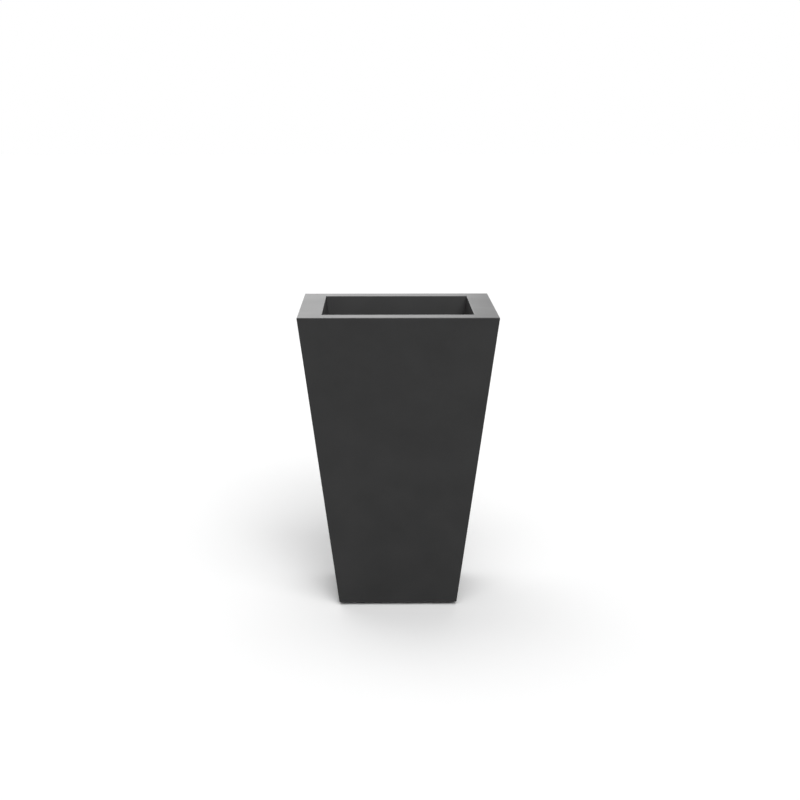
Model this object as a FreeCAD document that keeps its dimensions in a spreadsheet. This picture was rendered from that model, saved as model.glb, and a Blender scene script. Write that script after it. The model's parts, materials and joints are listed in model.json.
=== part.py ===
import FreeCAD, Part
import math
import os

import Sketcher
from FreeCAD import Placement, Rotation, Vector

# Tapered square planter, folded from sheet metal. Four mitred panels are held at their corners by
# bolted angles and plates, a tray closes the bottom, four levelling feet carry it, and a lift-out
# liner with two folding handles hangs on a ledge below the rim.
# Millimetres, +Z up, the front faces -Y, and the origin is on the floor under the planter's centre.

SIZES = {
    # Shell panels
    "top_width": 500,
    "base_width": 303,
    "shell_height": 755,
    "ground_gap": 8,
    "sheet_thickness": 1.5,
    "bend_radius": 0.5,
    "rim_width": 60,
    "return_depth": 65,
    "ledge_width": 16,
    "base_flange_width": 26,
    # Corner angles behind the vertical mitres
    "angle_leg": 32,
    "angle_thickness": 2,
    "angle_bend_radius": 1.5,
    "angle_end_gap": 6,
    "corner_stud_offset": 18,
    "corner_stud_end": 30,
    "corner_stud_rows": 4,
    # Plates under the rim mitres
    "rim_plate_thickness": 2,
    "rim_plate_leg": 110,
    "rim_plate_margin": 5,
    "rim_plate_corner_radius": 4,
    "rim_stud_edge": 12,
    # Weld studs, bolts and nuts of one thread size
    "thread_diameter": 5,
    "thread_gap": 0.05,
    "thread_hole_gap": 0.25,
    "thread_chamfer": 0.6,
    "stud_length": 12,
    "stud_foot_diameter": 6.5,
    "stud_foot_height": 0.8,
    "stud_hole_gap": 0.25,
    "nut_across_flats": 8,
    "nut_height": 5,
    "nut_flange_diameter": 11.8,
    "nut_flange_height": 1.2,
    "bolt_length": 12,
    "bolt_head_diameter": 9.5,
    "bolt_head_height": 2.75,
    "bolt_head_band_share": 0.35,
    "bolt_head_top_share": 0.6,
    "bolt_socket_flats": 3,
    "bolt_socket_depth": 1.6,
    "bolt_spread_share": 0.5,
    # Base tray
    "tray_thickness": 2,
    "tray_wall_height": 30,
    "tray_bend_radius": 1.5,
    "tray_gap": 0.5,
    # Levelling feet
    "foot_pad_diameter": 40,
    "foot_pad_top_diameter": 35,
    "foot_pad_height": 6.5,
    "foot_pad_rim_height": 3.5,
    "foot_pad_edge": 0.8,
    "foot_pad_floor": 1.5,
    "foot_margin": 2,
    "foot_head_diameter": 14,
    "foot_head_height": 2.4,
    "foot_thread_diameter": 8,
    "foot_thread_chamfer": 0.8,
    "foot_stud_length": 28,
    "foot_socket_flats": 4,
    "foot_socket_depth": 4,
    "foot_running_gap": 0.05,
    "foot_nut_barrel_diameter": 11,
    "foot_nut_flange_diameter": 16,
    "foot_nut_flange_height": 1.5,
    "foot_nut_height": 13,
    "foot_nut_hole_gap": 0.1,
    # Base drain
    "drain_bore": 24,
    "drain_bush_wall": 3,
    "drain_hole_gap": 0.3,
    "drain_flange_diameter": 44,
    "drain_flange_height": 2.5,
    "drain_gasket_height": 1.5,
    "drain_ring_diameter": 44,
    "drain_ring_height": 3.5,
    "drain_ring_gap": 0.1,
    "plug_gap": 0.1,
    "plug_head_diameter": 32,
    "plug_head_height": 4,
    "plug_taper": 1.5,
    "plug_loop_radius": 9,
    "plug_loop_thickness": 4,
    "plug_loop_sink": 3,
    # Lift-out liner
    "liner_depth": 420,
    "liner_wall": 3,
    "liner_gap": 5,
    "liner_draft_angle": 3,
    "liner_corner_radius": 30,
    "liner_floor_radius": 12,
    "liner_flange_height": 4,
    "liner_flange_gap": 3.5,
    "liner_flange_radius": 20,
    "liner_flange_edge": 1,
    "liner_drain_diameter": 12,
    "liner_drain_spread_share": 0.55,
    # Folding handles
    "handle_wire": 6,
    "handle_drop": 75,
    "handle_bend": 12,
    "handle_overhang": 6,
    "handle_lug_gap": 2,
    "handle_pivot_drop": 30,
    "handle_pivot_standoff": 14,
    "handle_pivot_gap": 0.1,
    # Handle lugs and their rivets
    "lug_thickness": 2.5,
    "lug_bend_radius": 1,
    "lug_height": 28,
    "lug_base_length": 28,
    "lug_corner_margin": 27,
    "lug_ear_edge": 6,
    "lug_ear_radius": 7,
    "lug_corner_radius": 3,
    "rivet_diameter": 4,
    "rivet_gap": 0.1,
    "rivet_head_diameter": 8,
    "rivet_head_height": 1.5,
    "rivet_head_share": 0.55,
    "rivet_tail_diameter": 6.5,
    "rivet_tail_height": 2.5,
    "rivet_spread": 14,
    "rivet_from_ear": 17,
    # Overrun of every cut past the faces that it opens
    "cut_overrun": 5,
}

CORNERS = ["front_left", "front_right", "back_right", "back_left"]
SIDES = ["front", "right", "back", "left"]
QUARTER_TURN = 90

doc = FreeCAD.newDocument("square_planter")
sheet = doc.addObject("Spreadsheet::Sheet", "sizes")
for row, (alias, value) in enumerate(SIZES.items(), start=1):
    sheet.set(f"A{row}", alias)
    sheet.set(f"B{row}", str(value))
    sheet.setAlias(f"B{row}", alias)
doc.recompute()

# Expressions shared by several pieces. Each reads the sheet.
LEAN = "((sizes.top_width - sizes.base_width) / (2 * sizes.shell_height))"
SLANT = f"sqrt(1 + {LEAN} ^ 2)"
CORNER_SLANT = f"sqrt(1 + 2 * {LEAN} ^ 2)"
SHEET_LEVEL = f"(sizes.sheet_thickness * {SLANT})"
TOP = "(sizes.ground_gap + sizes.shell_height)"
LEDGE = f"({TOP} - sizes.return_depth)"
OUTER_BEND = "(sizes.bend_radius + sizes.sheet_thickness)"
TRAY_FOOT = "(sizes.ground_gap + sizes.sheet_thickness)"
TRAY_FLOOR = f"({TRAY_FOOT} + sizes.tray_thickness)"
TRAY_TOP = f"({TRAY_FOOT} + sizes.tray_wall_height)"
BOLT_LINE = "((sizes.base_width - sizes.base_flange_width) / 2)"
BOLT_SPREAD = "(sizes.base_width / 2 * sizes.bolt_spread_share)"
THREAD_HOLE = "(sizes.thread_diameter / 2 + sizes.thread_hole_gap)"
STUD_HOLE = "(sizes.stud_foot_diameter / 2 + sizes.stud_hole_gap)"
FOOT_PLACE = (
    "(sizes.base_width / 2 - sizes.base_flange_width"
    " - sizes.foot_pad_diameter / 2 - sizes.foot_margin)"
)
DRAIN_OUTER = "(sizes.drain_bore / 2 + sizes.drain_bush_wall)"
RETURN_HALF = f"(sizes.top_width / 2 - sizes.rim_width - {LEAN} * sizes.return_depth)"
LEDGE_HALF = f"({RETURN_HALF} - sizes.ledge_width)"
LINER_TOP = f"({LEDGE} + sizes.liner_flange_height)"
LINER_FOOT = f"({LEDGE} - sizes.liner_depth)"
LINER_SLOPE = "tan(sizes.liner_draft_angle * 1 deg)"
LINER_WALL_LEVEL = "(sizes.liner_wall / cos(sizes.liner_draft_angle * 1 deg))"
LINER_HALF = f"({LEDGE_HALF} - sizes.liner_gap)"


def value(expression):
    """The number that an expression has in the sheet."""
    return float(sheet.evalExpression(expression))


def shell_inside(height):
    """Half the width between the walls' inner faces at a height, as an expression."""
    return f"(sizes.base_width / 2 + {LEAN} * ({height} - sizes.ground_gap) - {SHEET_LEVEL})"


def liner_outside(height):
    """Half the liner's outer width at a height, as an expression."""
    return f"({LINER_HALF} - {LINER_SLOPE} * ({LINER_TOP} - {height}))"


def new_body(label):
    body = doc.addObject("PartDesign::Body", label)
    body.Label = label
    return body


def plane_of(body, role):
    return next(item for item in body.Origin.OriginFeatures if item.Role == role)


def new_sketch(body, name, role, lift=None, turn=None):
    """Empty sketch on an origin plane, lifted along the plane's normal or turned about its own y axis."""
    sketch = body.newObject("Sketcher::SketchObject", name)
    sketch.AttachmentSupport = [(plane_of(body, role), "")]
    sketch.MapMode = "FlatFace"
    if turn is not None:
        sketch.AttachmentOffset = Placement(Vector(), Rotation(Vector(0, 1, 0), turn))
    if lift is not None:
        sketch.setExpression("AttachmentOffset.Base.z", lift)
    return sketch


def hold_point(sketch, geometry, end, point, name):
    """Ties one end of a line, or a centre, to a pair of expressions measured from the sketch's origin."""
    across, up = point
    if across == "0":
        sketch.addConstraint(Sketcher.Constraint("PointOnObject", geometry, end, -2))
    else:
        item = Sketcher.Constraint("DistanceX", -1, 1, geometry, end, value(across))
        index = sketch.addConstraint(item)
        sketch.renameConstraint(index, f"{name}_across")
        sketch.setExpression(f"Constraints.{name}_across", across)
    if up == "0":
        sketch.addConstraint(Sketcher.Constraint("PointOnObject", geometry, end, -1))
    else:
        item = Sketcher.Constraint("DistanceY", -1, 1, geometry, end, value(up))
        index = sketch.addConstraint(item)
        sketch.renameConstraint(index, f"{name}_up")
        sketch.setExpression(f"Constraints.{name}_up", up)


def draw_outline(sketch, points, name="corner"):
    """Closed outline through corners that are pairs of expressions."""
    places = [Vector(value(across), value(up), 0) for across, up in points]
    count = len(points)
    first = sketch.GeometryCount
    for index in range(count):
        sketch.addGeometry(Part.LineSegment(places[index], places[(index + 1) % count]))
    for index in range(count):
        following = first + (index + 1) % count
        sketch.addConstraint(Sketcher.Constraint("Coincident", first + index, 2, following, 1))
    for index, point in enumerate(points):
        hold_point(sketch, first + index, 1, point, f"{name}{index}")


def draw_circles(sketch, centres, radius):
    """Equal circles at centres that are pairs of expressions."""
    for index, (across, up) in enumerate(centres):
        centre = Vector(value(across), value(up), 0)
        geometry = sketch.addGeometry(Part.Circle(centre, Vector(0, 0, 1), value(radius)))
        hold_point(sketch, geometry, 3, (across, up), f"centre{index}")
        size = sketch.addConstraint(Sketcher.Constraint("Radius", geometry, value(radius)))
        sketch.renameConstraint(size, f"radius{index}")
        sketch.setExpression(f"Constraints.radius{index}", radius)


def hexagon(flats):
    """Corners of a hexagon across flats, as pairs of expressions."""
    far = f"{flats} / sqrt(3)"
    near = f"{flats} / (2 * sqrt(3))"
    half = f"{flats} / 2"
    return [
        (far, "0"),
        (near, half),
        (f"-{near}", half),
        (f"-{far}", "0"),
        (f"-{near}", f"-{half}"),
        (near, f"-{half}"),
    ]


def add_pad(body, name, sketch, length, symmetric=False):
    pad = body.newObject("PartDesign::Pad", name)
    pad.Profile = sketch
    pad.SideType = "Symmetric" if symmetric else "One side"
    pad.setExpression("Length", length)
    doc.recompute()
    return pad


def add_pocket(body, name, sketch, length, symmetric=False):
    """Cuts along the sketch's normal, or to both sides of it."""
    before = body.Shape.Volume
    pocket = body.newObject("PartDesign::Pocket", name)
    pocket.Profile = sketch
    pocket.Reversed = not symmetric
    pocket.SideType = "Symmetric" if symmetric else "One side"
    pocket.setExpression("Length", length)
    doc.recompute()
    if body.Shape.Volume >= before:
        raise RuntimeError(f"{body.Label}: {name} cut nothing")
    return pocket


def add_revolution(body, name, points):
    """Full turn about Z of an outline given as pairs of radius and height expressions."""
    sketch = new_sketch(body, f"{name}_outline", "XZ_Plane")
    draw_outline(sketch, points)
    turned = body.newObject("PartDesign::Revolution", name)
    turned.Profile = sketch
    turned.ReferenceAxis = (sketch, ["V_Axis"])
    doc.recompute()
    return turned


def add_frustum(body, name, low, high, low_half, high_half):
    """Upright square frustum between two heights, given half its width at each."""
    wedge = body.newObject("PartDesign::AdditiveWedge", name)
    wedge.AttachmentSupport = [(plane_of(body, "XZ_Plane"), "")]
    wedge.MapMode = "FlatFace"
    for prop, size in (
        ("Ymin", low),
        ("Ymax", high),
        ("Xmin", f"-{low_half}"),
        ("Xmax", low_half),
        ("Zmin", f"-{low_half}"),
        ("Zmax", low_half),
        ("X2min", f"-{high_half}"),
        ("X2max", high_half),
        ("Z2min", f"-{high_half}"),
        ("Z2max", high_half),
    ):
        wedge.setExpression(prop, size)
    doc.recompute()
    return wedge


def add_fillet(body, name, radius, chosen):
    """Rounds the edges of the body's last feature that a test picks."""
    base = body.Tip
    names = [f"Edge{i}" for i, edge in enumerate(base.Shape.Edges, start=1) if chosen(edge)]
    if not names:
        raise RuntimeError(f"{body.Label}: {name} found no edge")
    fillet = body.newObject("PartDesign::Fillet", name)
    fillet.Base = (base, names)
    fillet.setExpression("Radius", radius)
    doc.recompute()
    return fillet


NEAR_SHARE = 1e-4
NEAR = value("sizes.sheet_thickness") * NEAR_SHARE


def middle_of(edge):
    return edge.valueAt((edge.FirstParameter + edge.LastParameter) / 2)


def is_straight(edge):
    return isinstance(edge.Curve, Part.Line)


def runs_along_x_at(places):
    """Test for straight edges along X through any of the given pairs of y and z."""

    def test(edge):
        if not is_straight(edge) or abs(edge.tangentAt(edge.FirstParameter).x) < 1 - NEAR_SHARE:
            return False
        middle = middle_of(edge)
        return any(math.hypot(middle.y - y, middle.z - z) < NEAR for y, z in places)

    return test


def stands_up(edge):
    """Test for straight edges that climb, such as a frustum's corners."""
    ends = [vertex.Point.z for vertex in edge.Vertexes]
    return is_straight(edge) and len(ends) == 2 and abs(ends[0] - ends[1]) > NEAR


def stands_at(x, y):
    """Test for edges that climb with their middle over a place."""

    def test(edge):
        middle = middle_of(edge)
        return stands_up(edge) and math.hypot(middle.x - x, middle.y - y) < NEAR

    return test


def lies_at(height):
    """Test for edges that lie level at a height."""

    def test(edge):
        return all(abs(vertex.Point.z - height) < NEAR for vertex in edge.Vertexes)

    return test


def turned_about_z(quarter_turns):
    return Placement(Vector(), Rotation(Vector(0, 0, 1), QUARTER_TURN * quarter_turns))


def frame_at(origin, x_axis, z_axis):
    """Placement with its own x and z along two given square directions."""
    y_axis = z_axis.cross(x_axis)
    return Placement(origin, Rotation(x_axis, y_axis, z_axis, "ZXY"))


def group(label, master, frames):
    """Copies of one piece at several frames, as a group of separate solids."""
    copies = []
    for frame in frames:
        copy = master.Shape.copy()
        copy.Placement = frame.multiply(copy.Placement)
        copies.append(copy)
    feature = doc.addObject("Part::Feature", label)
    feature.Label = label
    feature.Shape = Part.makeCompound(copies)
    return feature


NODES = []


def keep(piece, label):
    """Takes a finished piece into the assembly under its own name."""
    piece.Label = label
    NODES.append(piece)
    return piece


# Shell panels


def make_envelope():
    """Outer form of the whole shell, with every edge rounded as a fold or a dressed corner."""
    body = new_body("shell_envelope")
    add_frustum(
        body, "outer_form", "sizes.ground_gap", TOP, "(sizes.base_width / 2)", "(sizes.top_width / 2)"
    )
    add_fillet(body, "outer_rounds", OUTER_BEND, lambda edge: True)
    return body


def panel_section():
    """Corners of the folded sheet, from the wall's foot over the rim to the ledge and back inside."""
    rim_edge = "-sizes.top_width / 2 + sizes.rim_width"
    return {
        "foot": ("-sizes.base_width / 2", "sizes.ground_gap"),
        "rim_outer": ("-sizes.top_width / 2", TOP),
        "rim_inner": (rim_edge, TOP),
        "ledge_root": (f"{rim_edge} + {LEAN} * sizes.return_depth", LEDGE),
        "ledge_tip": (f"-{LEDGE_HALF}", LEDGE),
        "ledge_tip_under": (f"-{LEDGE_HALF}", f"{LEDGE} - sizes.sheet_thickness"),
        "ledge_heel": (
            f"{rim_edge} - {SHEET_LEVEL} + {LEAN} * (sizes.return_depth + sizes.sheet_thickness)",
            f"{LEDGE} - sizes.sheet_thickness",
        ),
        "rim_inner_under": (
            f"{rim_edge} - {SHEET_LEVEL} + {LEAN} * sizes.sheet_thickness",
            f"{TOP} - sizes.sheet_thickness",
        ),
        "rim_outer_under": (
            f"-sizes.top_width / 2 + {SHEET_LEVEL} + {LEAN} * sizes.sheet_thickness",
            f"{TOP} - sizes.sheet_thickness",
        ),
        "foot_inside": (
            f"-sizes.base_width / 2 + {SHEET_LEVEL} - {LEAN} * sizes.sheet_thickness",
            TRAY_FOOT,
        ),
        "flange_tip_over": ("-sizes.base_width / 2 + sizes.base_flange_width", TRAY_FOOT),
        "flange_tip": ("-sizes.base_width / 2 + sizes.base_flange_width", "sizes.ground_gap"),
    }


def make_panel(side, quarter_turns, envelope):
    """One folded panel: wall, rim flange, return, ledge and base flange, mitred at both ends."""
    body = new_body(f"{side}_sheet")
    section = panel_section()
    profile = new_sketch(body, "section", "YZ_Plane")
    draw_outline(profile, list(section.values()))
    add_pad(body, "folded_sheet", profile, "sizes.top_width", symmetric=True)

    def places(*names):
        return [tuple(value(item) for item in section[name]) for name in names]

    inner_folds = places("ledge_root", "rim_inner_under", "rim_outer_under", "foot_inside")
    add_fillet(body, "inner_bends", "sizes.bend_radius", runs_along_x_at(inner_folds))
    outer_folds = places("rim_inner", "ledge_heel")
    add_fillet(body, "outer_bends", OUTER_BEND, runs_along_x_at(outer_folds))

    far = "(sizes.top_width / 2 + sizes.cut_overrun)"
    near = "sizes.cut_overrun"
    mitre = new_sketch(body, "mitre_lines", "XY_Plane")
    draw_outline(mitre, [(f"-{near}", f"-{near}"), (f"-{far}", f"-{far}"), (f"-{far}", f"-{near}")], "left")
    draw_outline(mitre, [(near, f"-{near}"), (far, f"-{far}"), (far, f"-{near}")], "right")
    add_pocket(body, "mitres", mitre, f"{TOP} + sizes.cut_overrun")

    holes = new_sketch(body, "bolt_places", "XY_Plane")
    centres = [(f"-{BOLT_SPREAD}", f"-{BOLT_LINE}"), (BOLT_SPREAD, f"-{BOLT_LINE}")]
    draw_circles(holes, centres, THREAD_HOLE)
    add_pocket(body, "bolt_holes", holes, f"{TRAY_FOOT} + sizes.sheet_thickness")
    body.Placement = turned_about_z(quarter_turns)

    panel = doc.addObject("Part::Common", f"{side}_panel")
    panel.Base = body
    panel.Tool = envelope
    return keep(panel, f"{side}_panel")


# Fasteners of the small thread


def make_weld_stud():
    """Threaded stud with a welded foot, standing on its local z axis."""
    radius = "sizes.thread_diameter / 2"
    foot = "sizes.stud_foot_diameter / 2"
    body = new_body("weld_stud")
    add_revolution(
        body,
        "stud",
        [
            ("0", "0"),
            (foot, "0"),
            (foot, "sizes.stud_foot_height"),
            (radius, "sizes.stud_foot_height"),
            (radius, "sizes.stud_length - sizes.thread_chamfer"),
            (f"{radius} - sizes.thread_chamfer", "sizes.stud_length"),
            ("0", "sizes.stud_length"),
        ],
    )
    return body


def make_flange_nut():
    """Hexagon nut with a round flange, seated at local z zero."""
    body = new_body("flange_nut")
    hex_sketch = new_sketch(body, "hex_outline", "XY_Plane")
    draw_outline(hex_sketch, hexagon("sizes.nut_across_flats"))
    add_pad(body, "hex", hex_sketch, "sizes.nut_height")
    flange = new_sketch(body, "flange_outline", "XY_Plane")
    draw_circles(flange, [("0", "0")], "sizes.nut_flange_diameter / 2")
    add_pad(body, "flange", flange, "sizes.nut_flange_height")
    bore = new_sketch(body, "bore_outline", "XY_Plane")
    draw_circles(bore, [("0", "0")], "sizes.thread_diameter / 2 + sizes.thread_gap")
    add_pocket(body, "bore", bore, "sizes.nut_height + sizes.cut_overrun")
    return body


def make_base_bolt():
    """Button-head bolt that points up, with its head below local z zero and a hexagon socket."""
    radius = "sizes.thread_diameter / 2"
    head = "sizes.bolt_head_diameter / 2"
    body = new_body("base_bolt")
    add_revolution(
        body,
        "bolt",
        [
            ("0", "-sizes.bolt_head_height"),
            (f"{head} * sizes.bolt_head_top_share", "-sizes.bolt_head_height"),
            (head, "-sizes.bolt_head_height * sizes.bolt_head_band_share"),
            (head, "0"),
            (radius, "0"),
            (radius, "sizes.bolt_length - sizes.thread_chamfer"),
            (f"{radius} - sizes.thread_chamfer", "sizes.bolt_length"),
            ("0", "sizes.bolt_length"),
        ],
    )
    socket = new_sketch(body, "socket_outline", "XY_Plane", lift="-sizes.bolt_head_height")
    draw_outline(socket, hexagon("sizes.bolt_socket_flats"))
    add_pocket(body, "socket", socket, "sizes.bolt_socket_depth")
    return body


# Corner angles


def corner_angle_span():
    """Lower and upper heights of a corner angle, as expressions."""
    low = f"({TRAY_TOP} + sizes.angle_end_gap)"
    high = f"({TOP} - sizes.sheet_thickness - sizes.rim_plate_thickness - sizes.angle_end_gap)"
    return low, high


def corner_stud_place(row):
    """Distance of a row of studs along the corner from the angle's lower end, as an expression."""
    low, high = corner_angle_span()
    length = f"(({high} - {low}) * {CORNER_SLANT})"
    step = f"(({length} - 2 * sizes.corner_stud_end) / (sizes.corner_stud_rows - 1))"
    return f"(sizes.corner_stud_end + {row} * {step})"


def corner_frame(quarter_turns):
    """Frame at the foot of a corner: z climbs along the inner corner line and x points inwards."""
    low, _ = corner_angle_span()
    height = value(low)
    half = value(shell_inside(low))
    lean = value(LEAN)
    climb = Vector(-lean, -lean, 1)
    climb.normalize()
    inward = Vector(1, 1, 0)
    inward = inward - climb * inward.dot(climb)
    inward.normalize()
    frame = frame_at(Vector(-half, -half, height), inward, climb)
    return turned_about_z(quarter_turns).multiply(frame)


def half_corner_angle():
    """Half the angle between the two walls at a corner, in degrees."""
    return math.degrees(math.acos(value(f"1 / (sqrt(2) * {SLANT})")))


def make_corner_angle(corner, quarter_turns):
    """Folded angle that backs a vertical mitre, with a clear hole for each weld stud."""
    low, high = corner_angle_span()
    along = f"(1 / (sqrt(2) * {SLANT}))"
    aside = f"({CORNER_SLANT} / (sqrt(2) * {SLANT}))"
    leg = "sizes.angle_leg"
    thick = "sizes.angle_thickness"
    body = new_body(f"corner_angle_{corner}")
    section = new_sketch(body, "angle_section", "XY_Plane")
    draw_outline(
        section,
        [
            ("0", "0"),
            (f"{leg} * {along}", f"{leg} * {aside}"),
            (f"{leg} * {along} + {thick} * {aside}", f"{leg} * {aside} - {thick} * {along}"),
            (f"{thick} / {aside}", "0"),
            (f"{leg} * {along} + {thick} * {aside}", f"-{leg} * {aside} + {thick} * {along}"),
            (f"{leg} * {along}", f"-{leg} * {aside}"),
        ],
    )
    add_pad(body, "folded_strip", section, f"({high} - {low}) * {CORNER_SLANT}")
    inner_fold = value(f"{thick} / {aside}")
    outer_bend = "sizes.angle_bend_radius + sizes.angle_thickness"
    add_fillet(body, "inner_bend", "sizes.angle_bend_radius", stands_at(inner_fold, 0))
    add_fillet(body, "outer_bend", outer_bend, stands_at(0, 0))
    rows = range(int(value("sizes.corner_stud_rows")))
    places = [("sizes.corner_stud_offset", corner_stud_place(row)) for row in rows]
    for name, turn in (("left", half_corner_angle()), ("right", -half_corner_angle())):
        holes = new_sketch(body, f"{name}_stud_places", "XZ_Plane", turn=turn)
        draw_circles(holes, places, STUD_HOLE)
        reach = "2 * (sizes.angle_thickness + sizes.cut_overrun)"
        add_pocket(body, f"{name}_stud_holes", holes, reach, symmetric=True)
    body.Placement = corner_frame(quarter_turns)
    return keep(body, f"corner_angle_{corner}")


def corner_stud_frames(lift):
    """Frames on the panels' inner faces behind every corner, z pointing inwards, raised off the face."""
    rows = range(int(value("sizes.corner_stud_rows")))
    offset = value("sizes.corner_stud_offset")
    frames = []
    for quarter_turns in range(len(CORNERS)):
        corner = corner_frame(quarter_turns)
        for sign in (1, -1):
            turn = math.radians(half_corner_angle()) * sign
            along = Vector(math.cos(turn), math.sin(turn), 0)
            inward = Vector(math.sin(turn), -math.cos(turn), 0) * sign
            for row in rows:
                place = along * offset + Vector(0, 0, value(corner_stud_place(row))) + inward * lift
                frames.append(corner.multiply(frame_at(place, along, inward)))
    return frames


# Rim corner plates


def rim_plate_edges():
    """Half widths of the plates' outer and inner edges, as expressions."""
    under = f"({TOP} - sizes.sheet_thickness - sizes.rim_plate_thickness)"
    outer = f"({shell_inside(under)} - sizes.rim_plate_margin)"
    inner = (
        f"(sizes.top_width / 2 - sizes.rim_width + {SHEET_LEVEL}"
        f" - {LEAN} * sizes.sheet_thickness + sizes.rim_plate_margin)"
    )
    return outer, inner


def rim_stud_places():
    """Stud places on one corner plate, two on each of the flanges that meet there, as expressions."""
    outer, inner = rim_plate_edges()
    middle = f"(({outer} + {inner}) / 2)"
    last = f"({outer} - sizes.rim_plate_leg + sizes.rim_stud_edge)"
    between = f"(({last} + {middle}) / 2)"
    return [
        (f"-{last}", f"-{middle}"),
        (f"-{between}", f"-{middle}"),
        (f"-{middle}", f"-{last}"),
        (f"-{middle}", f"-{between}"),
    ]


def make_rim_plate(corner, quarter_turns):
    """Flat L-shaped plate under a rim mitre."""
    outer, inner = rim_plate_edges()
    end = f"({outer} - sizes.rim_plate_leg)"
    body = new_body(f"rim_plate_{corner}")
    under = f"{TOP} - sizes.sheet_thickness - sizes.rim_plate_thickness"
    outline = new_sketch(body, "plate_outline", "XY_Plane", lift=under)
    draw_outline(
        outline,
        [
            (f"-{outer}", f"-{outer}"),
            (f"-{end}", f"-{outer}"),
            (f"-{end}", f"-{inner}"),
            (f"-{inner}", f"-{inner}"),
            (f"-{inner}", f"-{end}"),
            (f"-{outer}", f"-{end}"),
        ],
    )
    add_pad(body, "plate", outline, "sizes.rim_plate_thickness")
    add_fillet(body, "plate_corners", "sizes.rim_plate_corner_radius", stands_up)
    holes = new_sketch(body, "stud_places", "XY_Plane")
    draw_circles(holes, rim_stud_places(), STUD_HOLE)
    add_pocket(body, "stud_holes", holes, f"{TOP}")
    body.Placement = turned_about_z(quarter_turns)
    return keep(body, f"rim_plate_{corner}")


def rim_stud_frames(drop):
    """Frames under the rim flanges, z pointing down, lowered from the flange's underside."""
    height = value(f"{TOP} - sizes.sheet_thickness") - drop
    frames = []
    for quarter_turns in range(len(CORNERS)):
        turn = turned_about_z(quarter_turns)
        for across, up in rim_stud_places():
            place = Vector(value(across), value(up), height)
            frames.append(turn.multiply(frame_at(place, Vector(1, 0, 0), Vector(0, 0, -1))))
    return frames


# Base tray and its bolts


def foot_places():
    """The four feet's places, in the order of CORNERS, as pairs of expressions."""
    signs = [("-", "-"), ("", "-"), ("", ""), ("-", "")]
    return [(f"{across}{FOOT_PLACE}", f"{up}{FOOT_PLACE}") for across, up in signs]


def bolt_places():
    """Two bolts on each base flange, as pairs of expressions."""
    places = []
    for sign in ("-", ""):
        for line in ("-", ""):
            places.append((f"{sign}{BOLT_SPREAD}", f"{line}{BOLT_LINE}"))
            places.append((f"{line}{BOLT_LINE}", f"{sign}{BOLT_SPREAD}"))
    return places


def add_rounded_frustum(body, low, high, half_at, corner_radius, floor_radius):
    """Frustum with rounded corners and a rounded lower edge, its half width given for any height."""
    add_frustum(body, "form", low, high, half_at(low), half_at(high))
    add_fillet(body, "corner_rounds", corner_radius, stands_up)
    add_fillet(body, "floor_rounds", floor_radius, lies_at(value(low)))


def add_posts(body, name, centres, radius, low, length):
    """Round posts that stand through a floor, to cut its holes."""
    posts = new_sketch(body, f"{name}_places", "XY_Plane", lift=low)
    draw_circles(posts, centres, radius)
    add_pad(body, f"{name}_posts", posts, length)


def make_tray():
    """Shallow tray that closes the bottom, with walls that follow the shell's slope."""

    def outer_half(height):
        return f"({shell_inside(height)} - sizes.tray_gap)"

    def inner_half(height):
        return f"({outer_half(height)} - sizes.tray_thickness * {SLANT})"

    outer_bend = "sizes.tray_bend_radius + sizes.tray_thickness"
    inner_bend = "sizes.tray_bend_radius"
    form = new_body("tray_form")
    add_rounded_frustum(form, TRAY_FOOT, TRAY_TOP, outer_half, outer_bend, outer_bend)
    hollow = new_body("tray_hollow")
    mouth = f"({TRAY_TOP} + sizes.cut_overrun)"
    add_rounded_frustum(hollow, TRAY_FLOOR, mouth, inner_half, inner_bend, inner_bend)
    length = "sizes.tray_thickness + 2 * sizes.cut_overrun"
    for name, centres, radius in (
        ("bolt", bolt_places(), THREAD_HOLE),
        ("foot_nut", foot_places(), "sizes.foot_nut_barrel_diameter / 2 + sizes.foot_nut_hole_gap"),
        ("drain", [("0", "0")], f"{DRAIN_OUTER} + sizes.drain_hole_gap"),
    ):
        add_posts(hollow, name, centres, radius, f"{TRAY_FOOT} - sizes.cut_overrun", length)
    return keep(cut_out("base_tray", form, hollow), "base_tray")


def cut_out(label, form, hollow):
    """A piece left when a hollow is taken out of a form."""
    piece = doc.addObject("Part::Cut", label)
    piece.Base = form
    piece.Tool = hollow
    return piece


def level_frames(places, height):
    """Upright frames at pairs of expressions, all at one height expression."""
    return [
        Placement(Vector(value(across), value(up), value(height)), Rotation())
        for across, up in places
    ]


# Levelling feet


def make_foot_nut():
    """Clinch nut: a barrel through the tray's floor, a flange on top of it and a threaded body."""
    bore = "sizes.foot_thread_diameter / 2 + sizes.foot_running_gap"
    barrel = "sizes.foot_nut_barrel_diameter / 2"
    flange = "sizes.foot_nut_flange_diameter / 2"
    flange_top = "sizes.tray_thickness + sizes.foot_nut_flange_height"
    body = new_body("foot_nut")
    add_revolution(
        body,
        "nut",
        [
            (bore, "0"),
            (barrel, "0"),
            (barrel, "sizes.tray_thickness"),
            (flange, "sizes.tray_thickness"),
            (flange, flange_top),
            (barrel, flange_top),
            (barrel, "sizes.foot_nut_height"),
            (bore, "sizes.foot_nut_height"),
        ],
    )
    return body


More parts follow.
